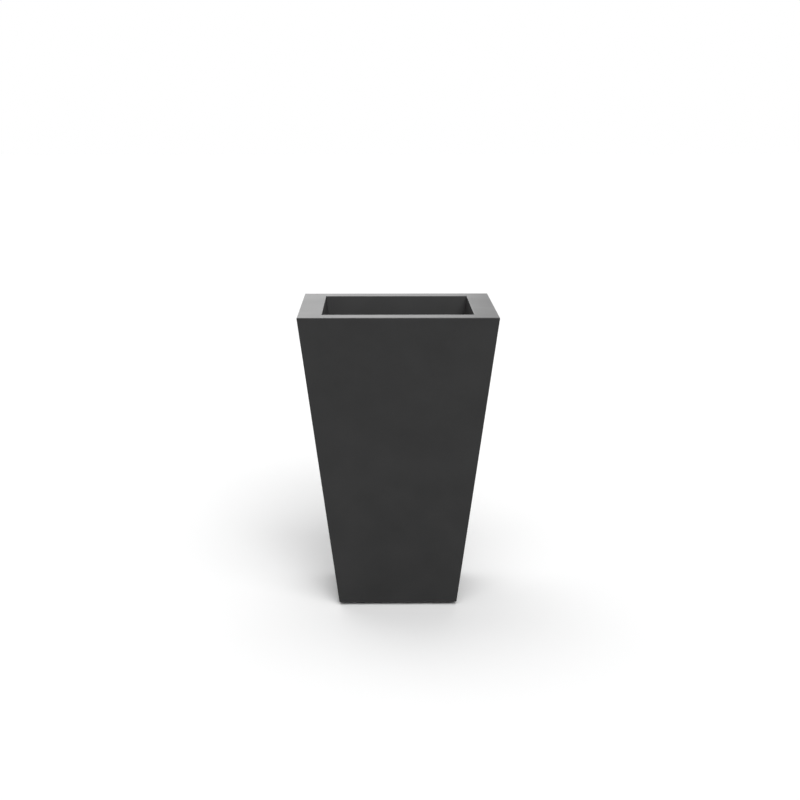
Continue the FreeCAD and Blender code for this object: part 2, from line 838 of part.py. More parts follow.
def make_foot_stud(corner, place):
    """Threaded stud with a round head that swivels in the pad, and a hexagon socket in its top."""
    radius = "sizes.foot_thread_diameter / 2"
    head = "sizes.foot_head_diameter / 2"
    low = "(sizes.foot_pad_floor + sizes.foot_running_gap)"
    neck = f"({low} + sizes.foot_head_height)"
    top = f"({neck} + sizes.foot_stud_length)"
    body = new_body(f"foot_stud_{corner}")
    add_revolution(
        body,
        "stud",
        [
            ("0", low),
            (head, low),
            (head, neck),
            (radius, neck),
            (radius, f"{top} - sizes.foot_thread_chamfer"),
            (f"{radius} - sizes.foot_thread_chamfer", top),
            ("0", top),
        ],
    )
    socket = new_sketch(body, "socket_outline", "XY_Plane", lift=f"{top} - sizes.foot_socket_depth")
    draw_outline(socket, hexagon("sizes.foot_socket_flats"))
    add_pocket(body, "socket", socket, "sizes.foot_socket_depth + sizes.cut_overrun")
    body.Placement = level_frames([place], "0")[0]
    return keep(body, f"foot_stud_{corner}")


def make_foot_pad(corner, place):
    """Low swivel pad, hollow where it holds the stud's head."""
    neck = "sizes.foot_thread_diameter / 2 + sizes.foot_running_gap"
    hollow = "sizes.foot_head_diameter / 2 + sizes.foot_running_gap"
    hollow_top = "sizes.foot_pad_floor + sizes.foot_head_height + 2 * sizes.foot_running_gap"
    outer = "sizes.foot_pad_diameter / 2"
    body = new_body(f"foot_pad_{corner}")
    add_revolution(
        body,
        "pad",
        [
            ("0", "0"),
            (f"{outer} - sizes.foot_pad_edge", "0"),
            (outer, "sizes.foot_pad_edge"),
            (outer, "sizes.foot_pad_rim_height"),
            ("sizes.foot_pad_top_diameter / 2", "sizes.foot_pad_height"),
            (neck, "sizes.foot_pad_height"),
            (neck, hollow_top),
            (hollow, hollow_top),
            (hollow, "sizes.foot_pad_floor"),
            ("0", "sizes.foot_pad_floor"),
        ],
    )
    body.Placement = level_frames([place], "0")[0]
    return keep(body, f"foot_pad_{corner}")


# Base drain

DRAIN_SEAT = f"({TRAY_FLOOR} + sizes.drain_gasket_height)"
DRAIN_TOP = f"({DRAIN_SEAT} + sizes.drain_flange_height)"
DRAIN_FOOT = f"({TRAY_FOOT} - sizes.drain_ring_height)"


def make_drain_bush():
    """Flanged tube through the tray's floor."""
    bore = "sizes.drain_bore / 2"
    flange = "sizes.drain_flange_diameter / 2"
    body = new_body("drain_bush")
    add_revolution(
        body,
        "bush",
        [
            (bore, DRAIN_FOOT),
            (DRAIN_OUTER, DRAIN_FOOT),
            (DRAIN_OUTER, DRAIN_SEAT),
            (flange, DRAIN_SEAT),
            (flange, DRAIN_TOP),
            (bore, DRAIN_TOP),
        ],
    )
    return keep(body, "drain_bush")


def make_drain_ring(label, inner, outer, low, high):
    """Plain ring round the drain bush."""
    body = new_body(label)
    add_revolution(body, "ring", [(inner, low), (outer, low), (outer, high), (inner, high)])
    return keep(body, label)


def make_drain_plug():
    """Rubber bung with a head and a pull loop, tapered towards its foot."""
    stem = "(sizes.drain_bore / 2 - sizes.plug_gap)"
    head = "sizes.plug_head_diameter / 2"
    head_top = f"({DRAIN_TOP} + sizes.plug_head_height)"
    body = new_body("drain_plug")
    add_revolution(
        body,
        "bung",
        [
            ("0", DRAIN_FOOT),
            (f"{stem} - sizes.plug_taper", DRAIN_FOOT),
            (stem, TRAY_FLOOR),
            (stem, DRAIN_TOP),
            (head, DRAIN_TOP),
            (head, head_top),
            ("0", head_top),
        ],
    )
    loop = body.newObject("PartDesign::AdditiveTorus", "pull_loop")
    loop.AttachmentSupport = [(plane_of(body, "XZ_Plane"), "")]
    loop.MapMode = "FlatFace"
    loop.setExpression("Radius1", "sizes.plug_loop_radius")
    loop.setExpression("Radius2", "sizes.plug_loop_thickness / 2")
    loop_height = f"{head_top} + sizes.plug_loop_radius - sizes.plug_loop_sink"
    loop.setExpression("AttachmentOffset.Base.y", loop_height)
    doc.recompute()
    return keep(body, "drain_plug")


# Liner


def make_liner():
    """Moulded tub with rounded corners, a flange that rests on the ledge, and drain holes in its floor."""

    def inner_half(height):
        return f"({liner_outside(height)} - {LINER_WALL_LEVEL})"

    form = new_body("liner_form")
    corner_radius = "sizes.liner_corner_radius"
    floor_radius = "sizes.liner_floor_radius"
    add_rounded_frustum(form, LINER_FOOT, LINER_TOP, liner_outside, corner_radius, floor_radius)
    flange_half = f"({RETURN_HALF} - sizes.liner_flange_gap)"
    flange = new_sketch(form, "flange_outline", "XY_Plane", lift=LEDGE)
    draw_outline(flange, square(flange_half))
    add_pad(form, "flange", flange, "sizes.liner_flange_height")
    reach = value(flange_half)

    def flange_corner(edge):
        middle = middle_of(edge)
        return stands_up(edge) and abs(abs(middle.x) - reach) < NEAR and abs(abs(middle.y) - reach) < NEAR

    add_fillet(form, "flange_corners", "sizes.liner_flange_radius", flange_corner)
    add_fillet(form, "flange_edge", "sizes.liner_flange_edge", lies_at(value(LINER_TOP)))

    hollow = new_body("liner_hollow")
    floor = f"({LINER_FOOT} + sizes.liner_wall)"
    mouth = f"({LINER_TOP} + sizes.cut_overrun)"
    inner_corner = f"{corner_radius} - sizes.liner_wall"
    inner_floor = f"{floor_radius} - sizes.liner_wall"
    add_rounded_frustum(hollow, floor, mouth, inner_half, inner_corner, inner_floor)
    low = f"{LINER_FOOT} - sizes.cut_overrun"
    length = "sizes.liner_wall + 2 * sizes.cut_overrun"
    add_posts(hollow, "drain", liner_drain_places(), "sizes.liner_drain_diameter / 2", low, length)
    tub = cut_out("liner_tub", form, hollow)
    bores = group("rivet_bores", make_rivet_bore(), rivet_frames())
    return keep(cut_out("liner", tub, bores), "liner")


def make_rivet_bore():
    """Hole for one rivet through the liner's wall, along local z."""
    body = new_body("rivet_bore")
    ring = new_sketch(body, "bore_outline", "XY_Plane")
    draw_circles(ring, [("0", "0")], "sizes.rivet_diameter / 2 + sizes.rivet_gap")
    add_pad(body, "bore", ring, "2 * (sizes.liner_wall + sizes.cut_overrun)", symmetric=True)
    return body


def square(half):
    """Corners of a square about the origin, given half its width."""
    return [(f"-{half}", f"-{half}"), (half, f"-{half}"), (half, half), (f"-{half}", half)]


def liner_drain_places():
    """Three by three drain holes in the liner's floor, as pairs of expressions."""
    step = f"({liner_outside(LINER_FOOT)} * sizes.liner_drain_spread_share)"
    line = [f"-{step}", "0", step]
    return [(across, up) for across in line for up in line]


# Handles, lugs and rivets

PIVOT_HEIGHT = f"({LINER_TOP} - sizes.handle_pivot_drop)"
LINER_INSIDE = f"({liner_outside(PIVOT_HEIGHT)} - {LINER_WALL_LEVEL})"
LINER_FLAT = f"({LINER_INSIDE} - (sizes.liner_corner_radius - sizes.liner_wall))"
LUG_PLACE = f"({LINER_FLAT} - sizes.lug_corner_margin - sizes.lug_base_length)"
HANDLE_LEG = f"({LUG_PLACE} - sizes.handle_lug_gap - sizes.handle_bend)"
HANDLE_END = f"({LUG_PLACE} + sizes.lug_thickness + sizes.handle_overhang)"
LINER_SIDES = {"left": 0, "right": 2}


def liner_wall_frame(quarter_turns):
    """Frame on a liner wall's inner face at pivot height: x points inwards and z climbs the wall."""
    half = value(LINER_INSIDE)
    draft = math.radians(value("sizes.liner_draft_angle"))
    inward = Vector(math.cos(draft), 0, math.sin(draft))
    climb = Vector(-math.sin(draft), 0, math.cos(draft))
    frame = frame_at(Vector(-half, 0, value(PIVOT_HEIGHT)), inward, climb)
    return turned_about_z(quarter_turns).multiply(frame)


def pivot_point(quarter_turns):
    """Middle of a handle's pivot line."""
    standoff = Vector(value("sizes.handle_pivot_standoff"), 0, 0)
    return liner_wall_frame(quarter_turns).multVec(standoff)


def lug_frames():
    """Frames of the four lugs: one towards each end of each handle, turned over at the far end."""
    place = Vector(0, value(LUG_PLACE), 0)
    over = Placement(Vector(), Rotation(Vector(1, 0, 0), 2 * QUARTER_TURN))
    frames = []
    for quarter_turns in LINER_SIDES.values():
        wall = liner_wall_frame(quarter_turns)
        for end in (Placement(), over):
            frames.append(wall.multiply(end).multiply(Placement(place, Rotation())))
    return frames


def make_lug():
    """Folded lug: a base plate on the liner's wall and an ear with the pivot hole."""
    thick = "sizes.lug_thickness"
    reach = "(sizes.handle_pivot_standoff + sizes.handle_wire / 2 + sizes.lug_ear_edge)"
    body = new_body("handle_lug")
    section = new_sketch(body, "lug_section", "XY_Plane")
    draw_outline(
        section,
        [
            ("0", "0"),
            (reach, "0"),
            (reach, thick),
            (thick, thick),
            (thick, "sizes.lug_base_length"),
            ("0", "sizes.lug_base_length"),
        ],
    )
    add_pad(body, "folded_lug", section, "sizes.lug_height", symmetric=True)
    fold = value(thick)
    far = value(reach)
    length = value("sizes.lug_base_length")

    def through_sheet(edge):
        return is_straight(edge) and abs(middle_of(edge).z) > NEAR

    def end_corner(edge):
        middle = middle_of(edge)
        return through_sheet(edge) and abs(middle.y - length) < NEAR and middle.x < fold

    def ear_corner(edge):
        middle = middle_of(edge)
        return through_sheet(edge) and abs(middle.x - far) < NEAR and middle.y < fold

    add_fillet(body, "inner_bend", "sizes.lug_bend_radius", stands_at(fold, fold))
    add_fillet(body, "outer_bend", "sizes.lug_bend_radius + sizes.lug_thickness", stands_at(0, 0))
    add_fillet(body, "ear_corners", "sizes.lug_ear_radius", ear_corner)
    add_fillet(body, "plate_corners", "sizes.lug_corner_radius", end_corner)
    through = "2 * (sizes.lug_thickness + sizes.cut_overrun)"
    pivot = new_sketch(body, "pivot_place", "XZ_Plane")
    bore = "sizes.handle_wire / 2 + sizes.handle_pivot_gap"
    draw_circles(pivot, [("sizes.handle_pivot_standoff", "0")], bore)
    add_pocket(body, "pivot_hole", pivot, through, symmetric=True)
    rivets = new_sketch(body, "rivet_places", "YZ_Plane")
    half_spread = "sizes.rivet_spread / 2"
    centres = [("sizes.rivet_from_ear", f"-{half_spread}"), ("sizes.rivet_from_ear", half_spread)]
    draw_circles(rivets, centres, "sizes.rivet_diameter / 2 + sizes.rivet_gap")
    add_pocket(body, "rivet_holes", rivets, through, symmetric=True)
    return body


def make_rivet():
    """Blind rivet along local z: domed head inside the lug and a swelled tail outside the liner's wall."""
    shank = "sizes.rivet_diameter / 2"
    head = "sizes.rivet_head_diameter / 2"
    tail = "sizes.rivet_tail_diameter / 2"
    low = "(-sizes.liner_wall - sizes.rivet_tail_height)"
    seat = "sizes.lug_thickness"
    top = f"({seat} + sizes.rivet_head_height)"
    body = new_body("lug_rivet")
    add_revolution(
        body,
        "rivet",
        [
            ("0", low),
            (shank, low),
            (tail, f"{low} + sizes.rivet_tail_height * sizes.rivet_head_share"),
            (tail, "-sizes.liner_wall"),
            (shank, "-sizes.liner_wall"),
            (shank, seat),
            (head, seat),
            (f"{head} * sizes.rivet_head_share", top),
            ("0", top),
        ],
    )
    return body


def rivet_frames():
    """Two rivets through each lug, z pointing inwards from the liner's wall."""
    from_ear = value("sizes.rivet_from_ear")
    half_spread = value("sizes.rivet_spread / 2")
    frames = []
    for lug in lug_frames():
        for sign in (1, -1):
            place = Vector(0, from_ear, half_spread * sign)
            frames.append(lug.multiply(frame_at(place, Vector(0, 1, 0), Vector(1, 0, 0))))
    return frames


def draw_handle_path(sketch):
    """Bent wire's middle line: a stub, a leg, the grip, a leg and a stub, with round bends."""
    leg = HANDLE_LEG
    bend = "sizes.handle_bend"
    drop = "sizes.handle_drop"
    end = HANDLE_END
    runs = [
        [(end, "0"), (f"({leg} + {bend})", "0")],
        [(leg, f"-{bend}"), (leg, f"-({drop} - {bend})")],
        [(f"({leg} - {bend})", f"-{drop}"), (f"-({leg} - {bend})", f"-{drop}")],
        [(f"-{leg}", f"-({drop} - {bend})"), (f"-{leg}", f"-{bend}")],
        [(f"-({leg} + {bend})", "0"), (f"-{end}", "0")],
    ]
    places = [[Vector(value(across), value(up), 0) for across, up in run] for run in runs]
    lines = [sketch.addGeometry(Part.LineSegment(*run)) for run in places]
    for index, run in enumerate(runs):
        hold_point(sketch, lines[index], 1, run[0], f"start{index}")
        hold_point(sketch, lines[index], 2, run[1], f"end{index}")
    for index in range(len(runs) - 1):
        before, after = places[index], places[index + 1]
        along = before[1] - before[0]
        along.normalize()
        chord = after[0] - before[1]
        aside = chord - along * chord.dot(along)
        centre = before[1] + aside
        turns_left = along.cross(aside).z > 0
        first, last = (1, 2) if turns_left else (2, 1)
        ends = [before[1] - centre, after[0] - centre]
        angles = [math.atan2(end_arm.y, end_arm.x) for end_arm in (ends if turns_left else ends[::-1])]
        round_bend = Part.Circle(centre, Vector(0, 0, 1), aside.Length)
        arc = sketch.addGeometry(Part.ArcOfCircle(round_bend, *angles))
        sketch.addConstraint(Sketcher.Constraint("Tangent", lines[index], 2, arc, first))
        sketch.addConstraint(Sketcher.Constraint("Coincident", arc, last, lines[index + 1], 1))
    return sketch


def make_handle(side, quarter_turns):
    """Bent wire handle, hanging from its pivot line."""
    body = new_body(f"handle_{side}")
    path = draw_handle_path(new_sketch(body, "wire_path", "YZ_Plane"))
    ring = new_sketch(body, "wire_section", "XZ_Plane", lift=f"-{HANDLE_END}")
    draw_circles(ring, [("0", "0")], "sizes.handle_wire / 2")
    doc.recompute()
    wire = body.newObject("PartDesign::AdditivePipe", "bent_wire")
    wire.Profile = ring
    wire.Spine = (path, [f"Edge{index}" for index in range(1, len(path.Shape.Edges) + 1)])
    doc.recompute()
    body.Placement = Placement(pivot_point(quarter_turns), Rotation())
    return keep(body, f"handle_{side}")


def build():
    envelope = make_envelope()
    for turns, side in enumerate(SIDES):
        make_panel(side, turns, envelope)
    for turns, corner in enumerate(CORNERS):
        make_corner_angle(corner, turns)
        make_rim_plate(corner, turns)
    stud = make_weld_stud()
    nut = make_flange_nut()
    keep(group("corner_studs", stud, corner_stud_frames(0)), "corner_studs")
    keep(group("corner_nuts", nut, corner_stud_frames(value("sizes.angle_thickness"))), "corner_nuts")
    keep(group("rim_studs", stud, rim_stud_frames(0)), "rim_studs")
    keep(group("rim_nuts", nut, rim_stud_frames(value("sizes.rim_plate_thickness"))), "rim_nuts")
    make_tray()
    bolt = make_base_bolt()
    keep(group("base_bolts", bolt, level_frames(bolt_places(), "sizes.ground_gap")), "base_bolts")
    keep(group("base_nuts", nut, level_frames(bolt_places(), TRAY_FLOOR)), "base_nuts")
    foot_nut = make_foot_nut()
    keep(group("foot_nuts", foot_nut, level_frames(foot_places(), TRAY_FOOT)), "foot_nuts")
    for corner, place in zip(CORNERS, foot_places()):
        make_foot_stud(corner, place)
        make_foot_pad(corner, place)
    make_drain_bush()
    gasket_inner = f"({DRAIN_OUTER} + sizes.drain_ring_gap)"
    make_drain_ring("drain_gasket", gasket_inner, "sizes.drain_flange_diameter / 2", TRAY_FLOOR, DRAIN_SEAT)
    make_drain_ring("drain_lock_ring", gasket_inner, "sizes.drain_ring_diameter / 2", DRAIN_FOOT, TRAY_FOOT)
    make_drain_plug()
    make_liner()
    keep(group("handle_lugs", make_lug(), lug_frames()), "handle_lugs")
    keep(group("lug_rivets", make_rivet(), rivet_frames()), "lug_rivets")
    for side, turns in LINER_SIDES.items():
        make_handle(side, turns)
    doc.recompute()


def check():
    """Stops if any object failed or any piece is empty or not valid."""
    for item in doc.Objects:
        if "Invalid" in item.State or "Error" in item.State:
            raise RuntimeError(f"{item.Label} failed: {item.State}")
    for piece in NODES:
        if piece.Shape.isNull() or not piece.Shape.isValid() or not piece.Shape.Solids:
            raise RuntimeError(f"{piece.Label} is empty or not valid")


def write():
    os.makedirs("parts", exist_ok=True)
    for piece in NODES:
        piece.Shape.exportStep(os.path.join("parts", f"{piece.Label}.step"))


build()
check()
write()
print(f"{len(NODES)} pieces")
for side, turns in LINER_SIDES.items():
    print(f"handle_{side} pivot", [round(x, 4) for x in pivot_point(turns)])
print("foot place", round(value(FOOT_PLACE), 4), "ledge height", round(value(LEDGE), 4))
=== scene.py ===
import json
import math

import bmesh
import bpy
import numpy as np
from mathutils import Matrix, Vector


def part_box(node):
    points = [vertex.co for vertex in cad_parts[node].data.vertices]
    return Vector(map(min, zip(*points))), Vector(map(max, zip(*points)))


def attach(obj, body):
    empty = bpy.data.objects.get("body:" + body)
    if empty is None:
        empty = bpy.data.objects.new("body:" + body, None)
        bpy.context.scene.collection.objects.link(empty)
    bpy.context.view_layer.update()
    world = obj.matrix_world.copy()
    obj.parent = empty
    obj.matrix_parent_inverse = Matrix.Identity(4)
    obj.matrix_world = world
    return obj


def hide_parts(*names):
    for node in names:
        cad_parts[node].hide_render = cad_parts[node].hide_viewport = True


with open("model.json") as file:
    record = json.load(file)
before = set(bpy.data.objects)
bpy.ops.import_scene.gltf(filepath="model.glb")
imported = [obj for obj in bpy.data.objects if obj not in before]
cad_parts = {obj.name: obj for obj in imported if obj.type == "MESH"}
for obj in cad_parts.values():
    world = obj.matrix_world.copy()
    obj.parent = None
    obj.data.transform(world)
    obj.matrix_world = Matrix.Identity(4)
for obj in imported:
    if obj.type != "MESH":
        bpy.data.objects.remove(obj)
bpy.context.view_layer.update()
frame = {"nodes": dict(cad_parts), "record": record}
nodes = frame["nodes"]
print("frame loaded,", len(nodes), "nodes")


# node helpers

def newMaterial(name):
    material = bpy.data.materials.new(name)
    material.use_nodes = True
    tree = material.node_tree
    return material, tree, tree.nodes["Principled BSDF"]


def addNode(tree, kind, **settings):
    node = tree.nodes.new(kind)
    for key, setting in settings.items():
        if key in node.inputs:
            node.inputs[key].default_value = setting
        else:
            setattr(node, key, setting)
    return node


def objectPoint(tree, stretch=(1, 1, 1)):  # every node sits at the origin, so this is the row frame in metres
    place = addNode(tree, "ShaderNodeTexCoord")
    mapping = addNode(tree, "ShaderNodeMapping", Scale=stretch)
    tree.links.new(place.outputs["Object"], mapping.inputs["Vector"])
    return mapping.outputs["Vector"]


def noise(tree, point, size, detail=3.0, roughness=0.5):  # size is the width of one blotch in metres
    node = addNode(tree, "ShaderNodeTexNoise", Scale=1 / size, Detail=detail, Roughness=roughness)
    tree.links.new(point, node.inputs["Vector"])
    return node.outputs["Fac"]


def ramp(tree, fac, stops):
    node = addNode(tree, "ShaderNodeValToRGB")
    node.color_ramp.elements[0].position = stops[0][0]
    node.color_ramp.elements[1].position = stops[-1][0]
    for place, _ in stops[1:-1]:
        node.color_ramp.elements.new(place)
    for element, (_, colour) in zip(node.color_ramp.elements, stops):
        element.color = (*colour, 1)
    tree.links.new(fac, node.inputs["Fac"])
    return node.outputs["Color"]


def spread(tree, fac, low, high):
    node = addNode(tree, "ShaderNodeMapRange")
    node.inputs["To Min"].default_value = low
    node.inputs["To Max"].default_value = high
    tree.links.new(fac, node.inputs["Value"])
    return node.outputs["Result"]


def blendFacs(tree, first, second, share):
    node = addNode(tree, "ShaderNodeMix", data_type="FLOAT")
    node.inputs["Factor"].default_value = share
    tree.links.new(first, node.inputs["A"])
    tree.links.new(second, node.inputs["B"])
    return node.outputs["Result"]


def bump(tree, heights, shader):  # heights is a list of (height socket, depth in metres)
    normal = None
    for height, depth in heights:
        node = addNode(tree, "ShaderNodeBump", Distance=depth)
        tree.links.new(height, node.inputs["Height"])
        if normal is not None:
            tree.links.new(normal, node.inputs["Normal"])
        normal = node.outputs["Normal"]
    tree.links.new(normal, shader.inputs["Normal"])


def scaled(colour, factor):
    return tuple(channel * factor for channel in colour)


def toneStops(look):  # from darker to lighter than the colour, over the middle of the noise's range
    low, high = look["toneEnds"]
    dark, light = 1 - look["swing"], 1 + look["swing"]
    return [(low, scaled(look["colour"], dark)), (high, scaled(look["colour"], light))]


# powder coat on the folded panels

coat = {
    "colour": (0.024, 0.024, 0.0243),
    "gloss": 0.17,
    "swing": 0.15,
    "toneEnds": (0.3, 0.7),
    "mottleSize": 0.09,
    "fleckSize": 0.0011,
    "fleckShare": 0.5,
    "roughness": (0.26, 0.32),
    "peelSize": 0.0022,
    "peelDepth": 0.00002,
    "grainSize": 0.0006,
    "grainDepth": 0.000006,
}


def powderCoat():
    material, tree, shader = newMaterial("shellPowderCoat")
    point = objectPoint(tree)
    mottle = noise(tree, point, coat["mottleSize"], 2)
    fleck = noise(tree, point, coat["fleckSize"], 1)
    tone = blendFacs(tree, mottle, fleck, coat["fleckShare"])
    tree.links.new(ramp(tree, tone, toneStops(coat)), shader.inputs["Base Color"])
    tree.links.new(spread(tree, mottle, *coat["roughness"]), shader.inputs["Roughness"])
    shader.inputs["Specular IOR Level"].default_value = coat["gloss"]
    peel = noise(tree, point, coat["peelSize"], 1)
    grain = noise(tree, point, coat["grainSize"], 1)
    bump(tree, [(peel, coat["peelDepth"]), (grain, coat["grainDepth"])], shader)
    return material


# zinc sheet, plated fasteners and drawn steel

zinc = {
    "colour": (0.52, 0.53, 0.54),
    "swing": 0.1,
    "toneEnds": (0.2, 0.8),
    "spangleSize": 0.007,
    "spangleDepth": 0.00001,
    "streakSize": 0.00175,
    "streakShare": 0.35,
    "roughness": (0.32, 0.48),
}


def galvanised():
    material, tree, shader = newMaterial("zincSpangle")
    shader.inputs["Metallic"].default_value = 1
    point = objectPoint(tree)
    cells = addNode(tree, "ShaderNodeTexVoronoi", Scale=1 / zinc["spangleSize"])
    tree.links.new(point, cells.inputs["Vector"])
    tint = addNode(tree, "ShaderNodeSeparateColor")
    tree.links.new(cells.outputs["Color"], tint.inputs["Color"])
    streak = noise(tree, point, zinc["streakSize"], 3)
    tone = blendFacs(tree, tint.outputs["Red"], streak, zinc["streakShare"])
    tree.links.new(ramp(tree, tone, toneStops(zinc)), shader.inputs["Base Color"])
    tree.links.new(spread(tree, tone, *zinc["roughness"]), shader.inputs["Roughness"])
    bump(tree, [(tone, zinc["spangleDepth"])], shader)
    return material


plated = {
    "colour": (0.60, 0.60, 0.57),
    "shade": 0.9,
    "warmth": (0.648, 0.618, 0.5244),   # the yellowish clouds of the plating
    "tonePlaces": (0.3, 0.55, 0.8),
    "cloudSize": 0.004,
    "roughness": (0.22, 0.38),
    "grainSize": 0.0004,
    "grainDepth": 0.000008,
}


def platedSteel():
    material, tree, shader = newMaterial("platedSteel")
    shader.inputs["Metallic"].default_value = 1
    point = objectPoint(tree)
    cloud = noise(tree, point, plated["cloudSize"], 3)
    tones = scaled(plated["colour"], plated["shade"]), plated["colour"], plated["warmth"]
    stops = list(zip(plated["tonePlaces"], tones))
    tree.links.new(ramp(tree, cloud, stops), shader.inputs["Base Color"])
    tree.links.new(spread(tree, cloud, *plated["roughness"]), shader.inputs["Roughness"])
    bump(tree, [(noise(tree, point, plated["grainSize"], 2), plated["grainDepth"])], shader)
    return material


drawn = {
    "colour": (0.58, 0.58, 0.57),
    "shades": (0.88, 1.08),
    "toneEnds": (0.3, 0.7),
    "roughness": (0.24, 0.36),
    "lineSize": 0.0005,
    "lineDepth": 0.000008,
    "stretch": (1, 0.03, 1),
}


def drawnSteel():
    material, tree, shader = newMaterial("drawnSteel")
    shader.inputs["Metallic"].default_value = 1
    lines = noise(tree, objectPoint(tree, drawn["stretch"]), drawn["lineSize"], 2)
    stops = [(end, scaled(drawn["colour"], shade)) for end, shade in zip(drawn["toneEnds"], drawn["shades"])]
    tree.links.new(ramp(tree, lines, stops), shader.inputs["Base Color"])
    tree.links.new(spread(tree, lines, *drawn["roughness"]), shader.inputs["Roughness"])
    bump(tree, [(lines, drawn["lineDepth"])], shader)
    return material


# plastics and rubber

def moulded(name, look):
    material, tree, shader = newMaterial(name)
    point = objectPoint(tree)
    cloud = noise(tree, point, look["cloudSize"], 4)
    grain = noise(tree, point, look["grainSize"], 2)
    tone = blendFacs(tree, cloud, grain, look["grainShare"])
    tree.links.new(ramp(tree, tone, toneStops(look)), shader.inputs["Base Color"])
    tree.links.new(spread(tree, cloud, *look["roughness"]), shader.inputs["Roughness"])
    bump(tree, [(grain, look["grainDepth"])], shader)
    return material


mouldedTone = {"toneEnds": (0.3, 0.75), "grainShare": 0.3}  # alike on the plastics and the rubber
linerLook = {"colour": (0.022, 0.022, 0.023), "cloudSize": 0.05, "grainSize": 0.0009, "swing": 0.2,
             "roughness": (0.42, 0.58), "grainDepth": 0.00006, **mouldedTone}
nylonLook = {"colour": (0.03, 0.03, 0.03), "cloudSize": 0.02, "grainSize": 0.0005, "swing": 0.15,
             "roughness": (0.38, 0.5), "grainDepth": 0.00003, **mouldedTone}
drainLook = {"colour": (0.06, 0.06, 0.062), "cloudSize": 0.02, "grainSize": 0.0005, "swing": 0.12,
             "roughness": (0.35, 0.48), "grainDepth": 0.00003, **mouldedTone}
rubberLook = {"colour": (0.018, 0.018, 0.018), "cloudSize": 0.012, "grainSize": 0.0004, "swing": 0.3,
              "roughness": (0.6, 0.8), "grainDepth": 0.00003, **mouldedTone}

finishes = {
    "shell_coat": powderCoat(),
    "zinc_sheet": galvanised(),
    "fastener_steel": platedSteel(),
    "handle_steel": drawnSteel(),
    "liner_plastic": moulded("linerPolyethylene", linerLook),
    "foot_nylon": moulded("footNylon", nylonLook),
    "drain_plastic": moulded("drainPlastic", drainLook),
    "seal_rubber": moulded("sealRubber", rubberLook),
}
print("finishes made:", ", ".join(sorted(finishes)))

for subpart in frame["record"]["subparts"]:
    piece = nodes[subpart["node"]]
    piece.data.materials.clear()
    piece.data.materials.append(finishes[subpart["material_slot"]])
print("finishes put on the packed nodes")


# turned, threaded and moulded hardware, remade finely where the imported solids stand

mm = 0.001
meshing = {
    "weldGap": 1e-6,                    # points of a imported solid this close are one, in metres
    "mergeGap": 1e-7,                   # and points of a new mesh
    "sharpAngle": 32,                   # edges sharper than this stay crisp, in degrees
    "widestShare": 0.98,                # points past this share of the reach mark the widest end
}
bodyOf = {node: body for body, members in frame["record"]["behaviour"]["bodies"].items() for node in members}
slotOf = {subpart["node"]: subpart["material_slot"] for subpart in frame["record"]["subparts"]}


def islands(node):  # the separate solids of one node, each as its points and the faces' areas and normals
    build = bmesh.new()
    build.from_mesh(nodes[node].data)
    bmesh.ops.remove_doubles(build, verts=build.verts, dist=meshing["weldGap"])
    build.faces.index_update()
    found = []
    for first in build.verts:
        if first.tag:
            continue
        first.tag = True
        group = [first]
        for vert in group:
            for edge in vert.link_edges:
                other = edge.other_vert(vert)
                if not other.tag:
                    other.tag = True
                    group.append(other)
        faces = {face.index: face for vert in group for face in vert.link_faces}
        points = np.array([vert.co for vert in group])
        areas = np.array([face.calc_area() for face in faces.values()])
        normals = np.array([face.normal for face in faces.values()])
        found.append((points, areas, normals))
    build.free()
    return found


def standingFrames(node):  # one frame per solid: its turning axis is z, and its widest end stands at z zero
    frames = []
    for points, areas, normals in islands(node):
        values, vectors = np.linalg.eigh((normals * areas[:, None]).T @ normals)
        axis = vectors[:, 0] if values[1] - values[0] > values[2] - values[1] else vectors[:, 2]
        middle = points.mean(axis=0)
        heights = (points - middle) @ axis
        outward = points - middle - np.outer(heights, axis)
        reach = np.linalg.norm(outward, axis=1)
        widest = reach > meshing["widestShare"] * reach.max()
        if heights[widest].mean() > (heights.min() + heights.max()) / 2:
            axis, heights = -axis, -heights
        upper = heights > (heights.min() + heights.max()) / 2
        corner = np.argmax(np.where(upper, reach, 0))
        across = Vector(outward[corner]).normalized()
        axis = Vector(axis)
        standing = Matrix((across, axis.cross(across), axis)).transposed().to_4x4()
        standing.translation = Vector(middle) + axis * heights.min()
        frames.append(standing)
    return frames


# skin over rings of (radius, height), in millimetres
def loft(build, place, rings, steps, lead=0, closed=False):
    loops = []
    for ring in rings:
        points = [ring(2 * math.pi * step / steps) if callable(ring) else ring for step in range(steps)]
        if all(radius == 0 for radius, _ in points):
            points = points[:1]
        loop = []
        for step, (radius, height) in enumerate(points):
            turn = 2 * math.pi * step / steps
            spot = Vector((radius * math.cos(turn), radius * math.sin(turn), height)) * mm
            loop.append(build.verts.new(place @ spot))
        loops.append(loop)
    if closed:
        loops.append(loops[0])
    for row in range(len(loops) - 1):
        for step in range(steps):
            after = (step + 1) % steps
            shift = lead if after == 0 else 0  # a thread's rows join on to later rows after each turn
            if row + 1 + shift >= len(loops):
                continue
            low, high = loops[row], loops[row + 1]
            nextLow, nextHigh = loops[row + shift], loops[row + 1 + shift]
            corners = [low[step % len(low)], nextLow[after % len(nextLow)],
                       nextHigh[after % len(nextHigh)], high[step % len(high)]]
            build.faces.new(list(dict.fromkeys(corners)))


def hexRing(flats, height, wider=0.0):  # a corner stands at the start of each sixth of a turn
    sixth = math.pi / 3
    return lambda turn: (flats / 2 / math.cos(turn % sixth - sixth / 2) + wider, height)


def fluted(radius, height, count, depth):  # rounded flutes for grip
    return lambda turn: (radius - depth * (1 - math.cos(count * turn)) / 2, height)


